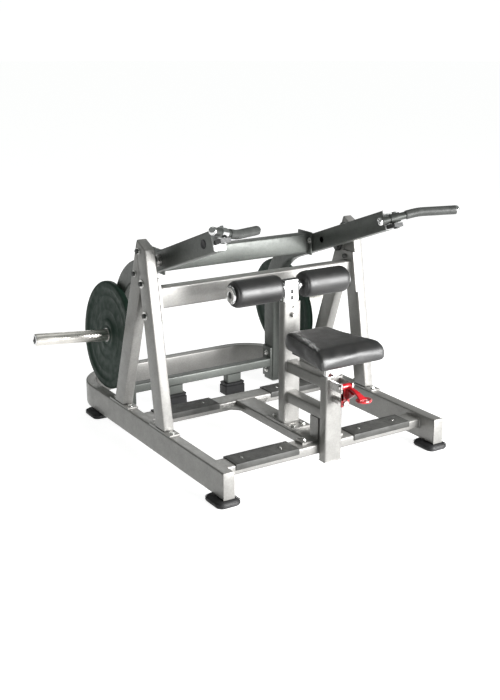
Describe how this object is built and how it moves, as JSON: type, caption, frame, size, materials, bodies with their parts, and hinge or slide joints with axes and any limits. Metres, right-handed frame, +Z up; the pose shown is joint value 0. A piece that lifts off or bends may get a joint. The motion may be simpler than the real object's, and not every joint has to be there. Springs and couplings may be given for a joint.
{
  "type": "seated dip press machine",
  "caption": "Plate-loaded seated press machine: floor frame with A-frames, pivoting arm with loading horns and weight plates, swivel handles, thigh rollers and an adjustable seat",
  "frame": {"origin": "middle of the machine's footprint, on the floor", "axes": "+X to the right of a user seated facing the weights, +Y from the seat towards the weights, +Z up"},
  "size_m": [1.5152, 1.43, 0.9365],
  "materials": {
    "frame_paint": "silver-grey metallic powder coat, satin",
    "arm_paint": "silver-grey metallic powder coat, satin",
    "bearing_iron": "dark painted cast housing",
    "zinc_bolts": "bright zinc plate",
    "black_rubber": "moulded, matt",
    "tread_rubber": "moulded, slightly glossy",
    "light_caps": "light grey powder coat",
    "pin_steel": "turned",
    "horn_steel": "polished",
    "chrome_trim": "bright",
    "handle_steel": "dark satin",
    "grip_rubber": "smooth grey",
    "dark_block": "black satin",
    "plate_green": "dark green rubber coat",
    "black_vinyl": "smooth upholstery vinyl",
    "seat_board": "black satin",
    "red_lever": "bright red gloss"
  },
  "bodies": {
    "frame": {"right_base_rail": "frame_paint", "left_base_rail": "frame_paint", "corner_bends": "frame_paint", "rear_base_tube": "frame_paint", "front_cross_tube": "frame_paint", "mid_cross_tube": "frame_paint", "centre_base_tube": "frame_paint", "centre_gussets": "frame_paint", "right_front_leg": "frame_paint", "left_front_leg": "frame_paint", "right_rear_leg": "frame_paint", "left_rear_leg": "frame_paint", "leg_base_plates": "frame_paint", "crossbeam": "frame_paint", "crossbeam_end_plates": "frame_paint", "front_seat_post": "frame_paint", "rear_seat_post": "frame_paint", "upper_seat_tube": "frame_paint", "lower_seat_tube": "frame_paint", "seat_frame_feet": "frame_paint", "tube_plugs": "frame_paint", "pivot_bearings": "bearing_iron", "base_bolts": "zinc_bolts", "leg_bolts": "zinc_bolts", "cover_screws": "zinc_bolts", "rubber_feet": "black_rubber", "foot_covers": "tread_rubber", "pin_guides": "pin_steel"},
    "press_arm": {"right_press_arm": "arm_paint", "left_press_arm": "arm_paint", "arm_cross_tube": "arm_paint", "arm_cross_flanges": "arm_paint", "stop_bar": "arm_paint", "stop_bar_flanges": "arm_paint", "arm_bolts": "zinc_bolts", "rubber_stops": "black_rubber", "arm_end_caps": "light_caps", "pivot_shafts": "pin_steel", "weight_horns": "horn_steel", "horn_end_caps": "chrome_trim", "handle_blocks": "dark_block"},
    "left_plate": {"left_weight_plate": "plate_green"},
    "right_plate": {"right_weight_plate": "plate_green"},
    "left_handle": {"left_handle_tube": "handle_steel", "left_handle_grip": "grip_rubber", "left_handle_clamp": "chrome_trim"},
    "right_handle": {"right_handle_tube": "handle_steel", "right_handle_grip": "grip_rubber", "right_handle_clamp": "handle_steel"},
    "roller_carriage": {"roller_post": "chrome_trim", "roller_axle": "chrome_trim", "roller_caps": "chrome_trim"},
    "left_roller": {"left_roller_pad": "black_vinyl"},
    "right_roller": {"right_roller_pad": "black_vinyl"},
    "roller_pin": {"pop_pin": "pin_steel"},
    "seat_carriage": {"seat_inner_post": "chrome_trim", "seat_plate": "seat_board", "seat_pad": "black_vinyl"},
    "lever": {"seat_lever": "red_lever"},
    "seat_pin": {"lock_pin": "pin_steel"}
  },
  "joints": [
    {"name": "arm_pivot", "type": "hinge", "parent": "frame", "child": "press_arm", "pos_m": [0, 0.027, 0.738], "axis": [1, 0, 0], "range_deg": [0, 30]},
    {"name": "left_plate_slide", "type": "slide", "parent": "press_arm", "child": "left_plate", "axis": [-0.9962, 0, 0.0872], "range_m": [0, 0.3]},
    {"name": "right_plate_slide", "type": "slide", "parent": "press_arm", "child": "right_plate", "axis": [0.9962, 0, 0.0872], "range_m": [0, 0.3]},
    {"name": "left_handle_swivel", "type": "hinge", "parent": "press_arm", "child": "left_handle", "pos_m": [-0.374, -0.39272, 0.90694], "axis": [0, -0.332, -0.9433], "range_deg": [0, 40]},
    {"name": "right_handle_swivel", "type": "hinge", "parent": "press_arm", "child": "right_handle", "pos_m": [0.374, -0.39936, 0.88808], "axis": [0, 0.332, 0.9433], "range_deg": [0, 40]},
    {"name": "roller_height", "type": "slide", "parent": "frame", "child": "roller_carriage", "axis": [0, 0, 1], "range_m": [0, 0.12]},
    {"name": "left_roller_spin", "type": "hinge", "parent": "roller_carriage", "child": "left_roller", "pos_m": [-0.15, -0.255, 0.645], "axis": [1, 0, 0], "continuous": true},
    {"name": "right_roller_spin", "type": "hinge", "parent": "roller_carriage", "child": "right_roller", "pos_m": [0.15, -0.255, 0.645], "axis": [1, 0, 0], "continuous": true},
    {"name": "roller_pin_pull", "type": "slide", "parent": "frame", "child": "roller_pin", "axis": [0, -1, 0], "range_m": [0, 0.012], "stiffness_N_per_m": 800, "springref_m": -0.005},
    {"name": "seat_height", "type": "slide", "parent": "frame", "child": "seat_carriage", "axis": [0, 0, 1], "range_m": [0, 0.08]},
    {"name": "lever_lift", "type": "hinge", "parent": "frame", "child": "lever", "pos_m": [0, -0.608, 0.352], "axis": [-1, 0, 0], "range_deg": [0, 15], "stiffness_Nm_per_rad": 6, "springref_deg": -8.59},
    {"name": "seat_pin_pull", "type": "slide", "parent": "frame", "child": "seat_pin", "axis": [0, -1, 0], "range_m": [0, 0.021]}
  ],
  "couplings": [
    {"joint": "seat_pin_pull", "follows": "lever_lift", "m_per_rad": 0.0783}
  ]
}
